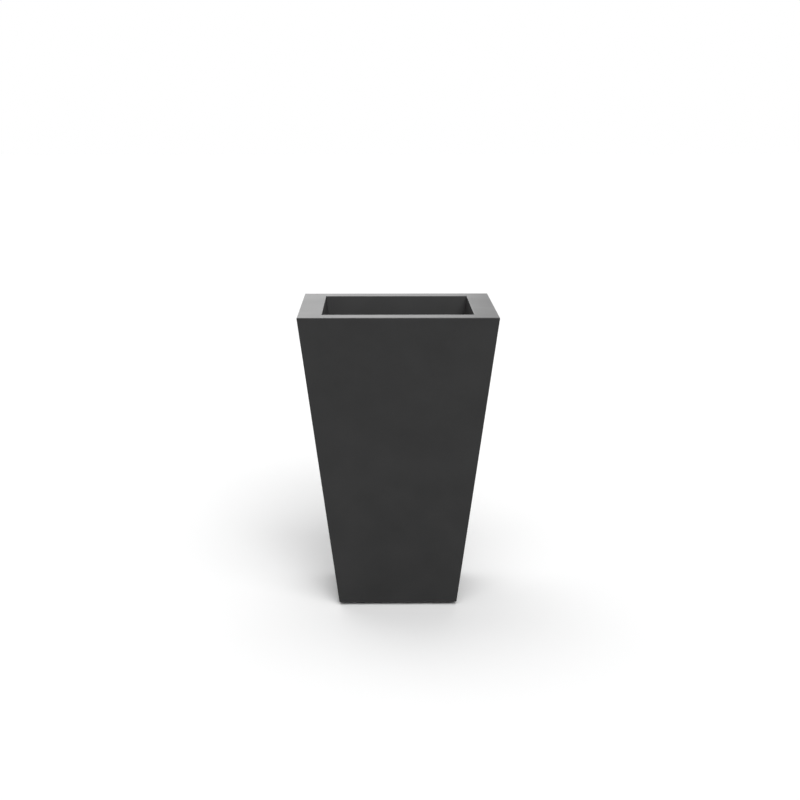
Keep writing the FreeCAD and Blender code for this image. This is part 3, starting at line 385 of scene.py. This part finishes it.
def arcRings(centre, radii, start, end, count):  # quarter rounds and domes, as rings
    rings = []
    for index in range(count + 1):
        angle = math.radians(start + (end - start) * index / count)
        rings.append((centre[0] + radii[0] * math.cos(angle), centre[1] + radii[1] * math.sin(angle)))
    return rings


def thread(build, place, screw, low, high, steps):  # helical ridge from low to a chamfered end at high
    crest, pitch, chamfer = screw["diameter"] / 2, screw["pitch"], screw["chamfer"]
    root = crest - screw["depthShare"] * pitch

    def row(index):
        def point(turn):
            height = low + pitch * (index / 2 + turn / (2 * math.pi) - 1)
            if height <= low:
                return root, low
            height = min(height, high)
            radius = crest if index % 2 else root
            return min(radius, crest - chamfer + high - height), height
        return point

    rows = int(2 * (high - low) / pitch) + 6  # the rows past the end lie on it and are merged
    loft(build, place, [row(index) for index in range(rows)], steps, lead=2)
    return root


def placePiece(name, node, build):
    bmesh.ops.remove_doubles(build, verts=build.verts, dist=meshing["mergeGap"])
    bmesh.ops.dissolve_degenerate(build, edges=build.edges, dist=meshing["mergeGap"])
    bmesh.ops.recalc_face_normals(build, faces=build.faces)
    mesh = bpy.data.meshes.new(name)
    build.to_mesh(mesh)
    build.free()
    mesh.polygons.foreach_set("use_smooth", [True] * len(mesh.polygons))
    mesh.set_sharp_from_angle(angle=math.radians(meshing["sharpAngle"]))
    mesh.materials.append(finishes[slotOf[node]])
    piece = bpy.data.objects.new(name, mesh)
    bpy.context.scene.collection.objects.link(piece)
    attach(piece, bodyOf[node])
    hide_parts(node)
    return piece


def makeSet(name, node, makeOne):  # one piece for all the solids of a node
    build = bmesh.new()
    for place in standingFrames(node):
        makeOne(build, place)
    return placePiece(name, node, build)


smallScrew = {"diameter": 5, "pitch": 0.8, "depthShare": 0.58, "chamfer": 0.6}
footScrew = {"diameter": 8, "pitch": 1.25, "depthShare": 0.58, "chamfer": 0.8}

weldStud = {"length": 12, "footDiameter": 6.5, "footHeight": 0.8, "footEdge": 0.3, "steps": 20}


def weldStudMesh(build, place):
    foot, height, edge = weldStud["footDiameter"] / 2, weldStud["footHeight"], weldStud["footEdge"]
    end = smallScrew["diameter"] / 2 - smallScrew["chamfer"]
    root = thread(build, place, smallScrew, height, weldStud["length"], weldStud["steps"])
    loft(build, place, [(0, 0), (foot, 0), (foot, height - edge), (foot - edge, height), (root, height)],
         weldStud["steps"])
    loft(build, place, [(end, weldStud["length"]), (0, weldStud["length"])], weldStud["steps"])


flangeNut = {"flats": 8, "height": 5, "flangeDiameter": 11.8, "flangeEdge": 0.7, "flangeHeight": 1.2,
             "bore": 5.1, "boreChamfer": 0.4, "neckFillet": 0.3, "topShare": 0.95, "topAngle": 30,
             "steps": 48}


def flangeNutMesh(build, place):
    flats, high, bore = flangeNut["flats"], flangeNut["height"], flangeNut["bore"] / 2
    flange, chamfer = flangeNut["flangeDiameter"] / 2, flangeNut["boreChamfer"]
    top = flats / 2 * flangeNut["topShare"]
    neck, fillet = flangeNut["flangeHeight"], flangeNut["neckFillet"]
    slope = math.tan(math.radians(flangeNut["topAngle"]))

    def chamferRing(turn):  # the turned chamfer cuts each corner lower than the middle of a flat
        radius, _ = hexRing(flats, high)(turn)
        return radius, high - (radius - top) * slope

    rings = [(bore + chamfer, 0), (flange - chamfer, 0), (flange, chamfer / 2),
             (flange, flangeNut["flangeEdge"]), hexRing(flats, neck, fillet), hexRing(flats, neck + fillet),
             chamferRing, (top, high), (bore + chamfer, high), (bore, high - chamfer), (bore, chamfer)]
    loft(build, place, rings, flangeNut["steps"], closed=True)


buttonBolt = {"headDiameter": 9.5, "headHeight": 2.75, "domeShare": 0.65, "domeSteps": 6,
              "crownDiameter": 5.2, "length": 14.75, "socketFlats": 3, "socketDepth": 1.6, "edge": 0.15,
              "steps": 24}


def buttonBoltMesh(build, place):
    head, high, edge = buttonBolt["headDiameter"] / 2, buttonBolt["headHeight"], buttonBolt["edge"]
    depth, flats = buttonBolt["socketDepth"], buttonBolt["socketFlats"]
    crown, dome = buttonBolt["crownDiameter"] / 2, high * buttonBolt["domeShare"]
    end = smallScrew["diameter"] / 2 - smallScrew["chamfer"]
    root = thread(build, place, smallScrew, high, buttonBolt["length"], buttonBolt["steps"])
    rings = [(0, depth), hexRing(flats, depth), hexRing(flats, edge), hexRing(flats, 0, edge)]
    rings += arcRings((crown, dome), (head - crown, dome), -90, 0, buttonBolt["domeSteps"])
    rings += [(head, high - edge), (head - edge, high), (root, high)]
    loft(build, place, rings, buttonBolt["steps"])
    loft(build, place, [(end, buttonBolt["length"]), (0, buttonBolt["length"])], buttonBolt["steps"])


footStud = {"headDiameter": 14, "headHeight": 2.4, "edge": 0.3, "length": 30.4, "socketFlats": 4,
            "socketDepth": 4, "steps": 36}


def footStudMesh(build, place):
    head, high, edge = footStud["headDiameter"] / 2, footStud["headHeight"], footStud["edge"]
    length, flats = footStud["length"], footStud["socketFlats"]
    floor = length - footStud["socketDepth"]
    end = footScrew["diameter"] / 2 - footScrew["chamfer"]
    root = thread(build, place, footScrew, high, length, footStud["steps"])
    loft(build, place, [(0, 0), (head - edge, 0), (head, edge), (head, high - edge), (head - edge, high),
                        (root, high)], footStud["steps"])
    loft(build, place, [(end, length), hexRing(flats, length, edge), hexRing(flats, length - edge),
                        hexRing(flats, floor), (0, floor)], footStud["steps"])


footPad = {"diameter": 40, "topDiameter": 35, "height": 6.5, "rimHeight": 3.5, "edge": 0.8, "fluteCount": 24,
           "fluteDepth": 0.7, "soleDiameter": 30, "soleDepth": 0.5, "neck": 8.1, "cup": 14.1, "cupLow": 1.5,
           "cupHigh": 4, "dishDiameter": 22, "dishDepth": 0.6, "steps": 192}


def footPadMesh(build, place):
    outer, high, edge = footPad["diameter"] / 2, footPad["height"], footPad["edge"]
    sole, depth = footPad["soleDiameter"] / 2, footPad["soleDepth"]
    dish, sunk = footPad["dishDiameter"] / 2, footPad["height"] - footPad["dishDepth"]
    flutes = footPad["fluteCount"], footPad["fluteDepth"]
    top, neck, cup = footPad["topDiameter"] / 2, footPad["neck"] / 2, footPad["cup"] / 2
    rings = [(0, depth), (sole, depth), (sole + depth, 0), (outer - edge, 0), fluted(outer, edge, *flutes),
             fluted(outer, footPad["rimHeight"] - edge, *flutes), (outer - edge, footPad["rimHeight"])]
    rings += [(top, high - edge), (top - edge, high), (dish + edge, high), (dish, sunk), (neck, sunk),
              (neck, footPad["cupHigh"]), (cup, footPad["cupHigh"]), (cup, footPad["cupLow"]),
              (0, footPad["cupLow"])]
    loft(build, place, rings, footPad["steps"])


clinchNut = {"barrel": 11, "bore": 8.1, "height": 13, "flangeDiameter": 16, "flangeLow": 2, "flangeHigh": 3.5,
             "edge": 0.4, "knurlCount": 24, "knurlDepth": 0.5, "steps": 192}


def clinchNutMesh(build, place):
    barrel, bore = clinchNut["barrel"] / 2, clinchNut["bore"] / 2
    edge, high = clinchNut["edge"], clinchNut["height"]
    flange, low, top = clinchNut["flangeDiameter"] / 2, clinchNut["flangeLow"], clinchNut["flangeHigh"]
    knurl = clinchNut["knurlCount"], clinchNut["knurlDepth"]
    rings = [(bore + edge, 0), (barrel - edge, 0), (barrel, edge), (barrel, low), fluted(flange, low, *knurl),
             fluted(flange, top - edge, *knurl), (flange - 2 * edge, top), (barrel + edge, top),
             (barrel, top + edge), (barrel, high - edge), (barrel - edge, high), (bore + edge, high),
             (bore, high - edge), (bore, edge)]
    loft(build, place, rings, clinchNut["steps"], closed=True)


blindRivet = {"headDiameter": 8, "headHeight": 1.5, "headEdge": 0.2, "headSteps": 7, "shank": 4, "pin": 2,
              "pinSunk": 0.5, "grip": 5.5, "tailDiameter": 6.5, "tailHeight": 2.5, "tailEdge": 0.4,
              "tailSteps": 5, "steps": 32}


def blindRivetMesh(build, place):
    head, high, shank = blindRivet["headDiameter"] / 2, blindRivet["headHeight"], blindRivet["shank"] / 2
    pin, sunk, tail = blindRivet["pin"] / 2, blindRivet["pinSunk"], blindRivet["tailDiameter"] / 2
    foot = high + blindRivet["grip"]
    dome, bulge = high - blindRivet["headEdge"], blindRivet["tailHeight"] - blindRivet["tailEdge"]
    rings = [(0, sunk), (pin, sunk)]
    rings += arcRings((pin, dome), (head - pin, dome), -90, 0, blindRivet["headSteps"])
    rings += [(head, high), (shank, high), (shank, foot), (tail, foot)]
    rings += arcRings((shank, foot + blindRivet["tailEdge"]), (tail - shank, bulge), 0, 90,
                      blindRivet["tailSteps"])
    rings += [(0, foot + blindRivet["tailHeight"])]
    loft(build, place, rings, blindRivet["steps"])


for name, node, makeOne in (
    ("cornerWeldStuds", "corner_studs", weldStudMesh), ("rimWeldStuds", "rim_studs", weldStudMesh),
    ("cornerFlangeNuts", "corner_nuts", flangeNutMesh), ("rimFlangeNuts", "rim_nuts", flangeNutMesh),
    ("baseFlangeNuts", "base_nuts", flangeNutMesh), ("baseButtonBolts", "base_bolts", buttonBoltMesh),
    ("footClinchNuts", "foot_nuts", clinchNutMesh), ("lugBlindRivets", "lug_rivets", blindRivetMesh),
):
    makeSet(name, node, makeOne)
for corner in ("front_left", "front_right", "back_right", "back_left"):
    makeSet(f"footStud.{corner}", f"foot_stud_{corner}", footStudMesh)
    makeSet(f"footPad.{corner}", f"foot_pad_{corner}", footPadMesh)
print("fasteners and feet remade")


# base drain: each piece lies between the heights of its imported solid

def heightsOf(node):
    low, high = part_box(node)
    return low.z / mm, high.z / mm


def turnedMesh(rings, steps, closed=True):
    build = bmesh.new()
    loft(build, Matrix.Identity(4), rings, steps, closed=closed)
    return build


drainBush = {"bore": 24, "outer": 30, "flange": 44, "flangeHeight": 2.5, "edge": 1.0, "edgeSteps": 5,
             "mouth": 0.8, "foot": 0.4, "steps": 96}


def makeBush():
    low, top = heightsOf("drain_bush")
    bore, outer, flange = drainBush["bore"] / 2, drainBush["outer"] / 2, drainBush["flange"] / 2
    edge, mouth, foot = drainBush["edge"], drainBush["mouth"], drainBush["foot"]
    seat = top - drainBush["flangeHeight"]
    rings = [(bore + foot, low), (outer - foot, low), (outer, low + foot), (outer, seat), (flange, seat)]
    rings += arcRings((flange - edge, top - edge), (edge, edge), 0, 90, drainBush["edgeSteps"])
    rings += [(bore + mouth, top), (bore, top - mouth), (bore, low + foot)]
    placePiece("drainBush", "drain_bush", turnedMesh(rings, drainBush["steps"]))


lockRing = {"inner": 30.2, "outer": 44, "edge": 0.5, "fluteCount": 12, "fluteDepth": 1.4, "steps": 192}


def makeLockRing():
    low, top = heightsOf("drain_lock_ring")
    inner, outer, edge = lockRing["inner"] / 2, lockRing["outer"] / 2, lockRing["edge"]
    flutes = lockRing["fluteCount"], lockRing["fluteDepth"]
    rings = [(inner + edge, low), fluted(outer - edge, low, *flutes), fluted(outer, low + edge, *flutes),
             fluted(outer, top - edge, *flutes), fluted(outer - edge, top, *flutes), (inner, top),
             (inner, low + edge)]
    placePiece("drainLockRing", "drain_lock_ring", turnedMesh(rings, lockRing["steps"]))


drainGasket = {"inner": 30.2, "outer": 44, "edge": 0.4, "steps": 96}


def makeGasket():
    low, top = heightsOf("drain_gasket")
    inner, outer, edge = drainGasket["inner"] / 2, drainGasket["outer"] / 2, drainGasket["edge"]
    rings = [(inner, low), (outer - edge, low), (outer, low + edge), (outer, top - edge), (outer - edge, top),
             (inner, top)]
    placePiece("drainGasket", "drain_gasket", turnedMesh(rings, drainGasket["steps"]))


drainPlug = {"stem": 23.8, "foot": 20.8, "head": 32, "headHeight": 4, "edge": 1.2, "edgeSteps": 5,
             "grooveDepth": 0.7, "grooveShares": (0.62, 0.8), "grooveHalf": 0.5, "hoop": 9, "hoopWire": 2,
             "hoopSink": 3, "wireSides": 24, "steps": 96}


def makePlug():
    low, _ = heightsOf("drain_plug")
    _, seat = heightsOf("drain_bush")
    stem, foot, head = drainPlug["stem"] / 2, drainPlug["foot"] / 2, drainPlug["head"] / 2
    edge, depth, half = drainPlug["edge"], drainPlug["grooveDepth"], drainPlug["grooveHalf"]
    top = seat + drainPlug["headHeight"]
    rings = [(0, low), (foot - edge, low), (foot, low + edge)]
    for share in drainPlug["grooveShares"]:  # grooves round the stem, between its sealing lips
        middle = low + (seat - low) * share
        radius = foot + (stem - foot) * share
        rings += [(radius, middle - half), (radius - depth, middle - half / 2),
                  (radius - depth, middle + half / 2), (radius, middle + half)]
    rings += [(stem, seat), (head - edge / 2, seat), (head, seat + edge / 2)]
    rings += arcRings((head - edge, top - edge), (edge, edge), 0, 90, drainPlug["edgeSteps"])
    build = turnedMesh(rings + [(0, top)], drainPlug["steps"], closed=False)
    # the pull hoop stands upright, sunk into the head
    hoop, wire, sides = drainPlug["hoop"], drainPlug["hoopWire"], drainPlug["wireSides"]
    centre = Matrix.Translation((0, 0, (top + hoop - drainPlug["hoopSink"]) * mm))
    upright = centre @ Matrix.Rotation(math.pi / 2, 4, "X")
    rings = arcRings((hoop, 0), (wire, wire), 0, 360, sides)[:-1]
    loft(build, upright, rings, drainPlug["steps"], closed=True)
    placePiece("drainPlug", "drain_plug", build)


makeBush()
makeLockRing()
makeGasket()
makePlug()
print("drain remade")


# studio: pale floor, white surroundings, soft lamps

studio = {
    "floorSize": 60,
    "floorSeen": 0.90,                  # the floor's tone for the camera and in mirrors
    "floorBounce": 0.5,                 # and in the light that it throws back
    "floorRoughness": 0.9,
    "worldLevel": 0.26,                 # light from all round; the camera and mirrors see white
    "lamps": {                          # each lamp's direction, strength, and width in degrees
        "lowKeyLamp": ((0.12, -0.84, 0.53), 1.15, 25),
        "highKeyLamp": ((0.085, -0.61, 0.79), 1.8, 45),
        "backLamp": ((-0.09, 0.35, 0.93), 1.0, 45),
    },
    "lampDistance": 4,
    "lampAim": (0, 0, 0.4),
    "cardPlace": (-1.15, 4.2, 1.3),     # pale round card behind, which brightens the left of the rim
    "cardAim": (0, 0, 0.76),
    "cardSize": (3.44, 1.4),
    "cardPower": 8.2,
}


def seenDirectly(tree):  # 1 for the camera, for mirrors and through glass, else 0
    path = addNode(tree, "ShaderNodeLightPath")
    total = path.outputs["Is Camera Ray"]
    for name in ("Is Glossy Ray", "Is Transmission Ray"):
        either = addNode(tree, "ShaderNodeMath", operation="MAXIMUM")
        tree.links.new(total, either.inputs[0])
        tree.links.new(path.outputs[name], either.inputs[1])
        total = either.outputs["Value"]
    return total


def makeFloor():
    mesh = bpy.data.meshes.new("floor")
    build = bmesh.new()
    bmesh.ops.create_grid(build, x_segments=1, y_segments=1, size=studio["floorSize"] / 2)
    build.to_mesh(mesh)
    build.free()
    floor = bpy.data.objects.new("floor", mesh)
    bpy.context.scene.collection.objects.link(floor)
    material, tree, shader = newMaterial("paleFloor")
    tone = spread(tree, seenDirectly(tree), studio["floorBounce"], studio["floorSeen"])
    tree.links.new(tone, shader.inputs["Base Color"])
    shader.inputs["Roughness"].default_value = studio["floorRoughness"]
    shader.inputs["Specular IOR Level"].default_value = 0.0
    mesh.materials.append(material)


def makeWorld():
    world = bpy.data.worlds.new("whiteStudio")
    world.use_nodes = True
    bpy.context.scene.world = world
    tree = world.node_tree
    background = tree.nodes["Background"]
    background.inputs["Color"].default_value = (1, 1, 1, 1)
    tree.links.new(spread(tree, seenDirectly(tree), studio["worldLevel"], 1), background.inputs["Strength"])


def aim(thing, place, target):
    thing.location = place
    thing.rotation_euler = (Vector(target) - Vector(place)).to_track_quat("-Z", "Y").to_euler()


def hangLamp(name, lamp, place, target):
    holder = bpy.data.objects.new(name, lamp)
    bpy.context.scene.collection.objects.link(holder)
    holder.visible_camera = False
    aim(holder, place, target)


def farLamp(name, place, strength, degrees):  # wide soft light, alike all over the floor
    lamp = bpy.data.lights.new(name, "SUN")
    lamp.energy = strength
    lamp.angle = math.radians(degrees)
    hangLamp(name, lamp, Vector(place) * studio["lampDistance"], studio["lampAim"])


def whiteCard(name, place, size, power):
    lamp = bpy.data.lights.new(name, "AREA")
    lamp.shape = "ELLIPSE"
    lamp.size, lamp.size_y = size
    lamp.energy = power
    hangLamp(name, lamp, place, studio["cardAim"])


makeFloor()
makeWorld()
for lampName, (place, strength, degrees) in studio["lamps"].items():
    farLamp(lampName, place, strength, degrees)
whiteCard("rimCard", studio["cardPlace"], studio["cardSize"], studio["cardPower"])
print("studio lit")


# camera, fitted to the shell's corners in the photograph

view = {"place": (-0.0471, -4.326, 1.3146), "down": 10.508, "heading": 0.719, "lens": 75.49, "sensor": 36}

camera = bpy.data.cameras.new("camera")
camera.lens = view["lens"]
camera.sensor_width = view["sensor"]
cameraHolder = bpy.data.objects.new("camera", camera)
bpy.context.scene.collection.objects.link(cameraHolder)
cameraHolder.location = view["place"]
cameraHolder.rotation_euler = (math.radians(90 - view["down"]), 0, math.radians(-view["heading"]))
bpy.context.scene.camera = cameraHolder
bpy.context.scene.view_settings.view_transform = "Standard"
print("camera set")
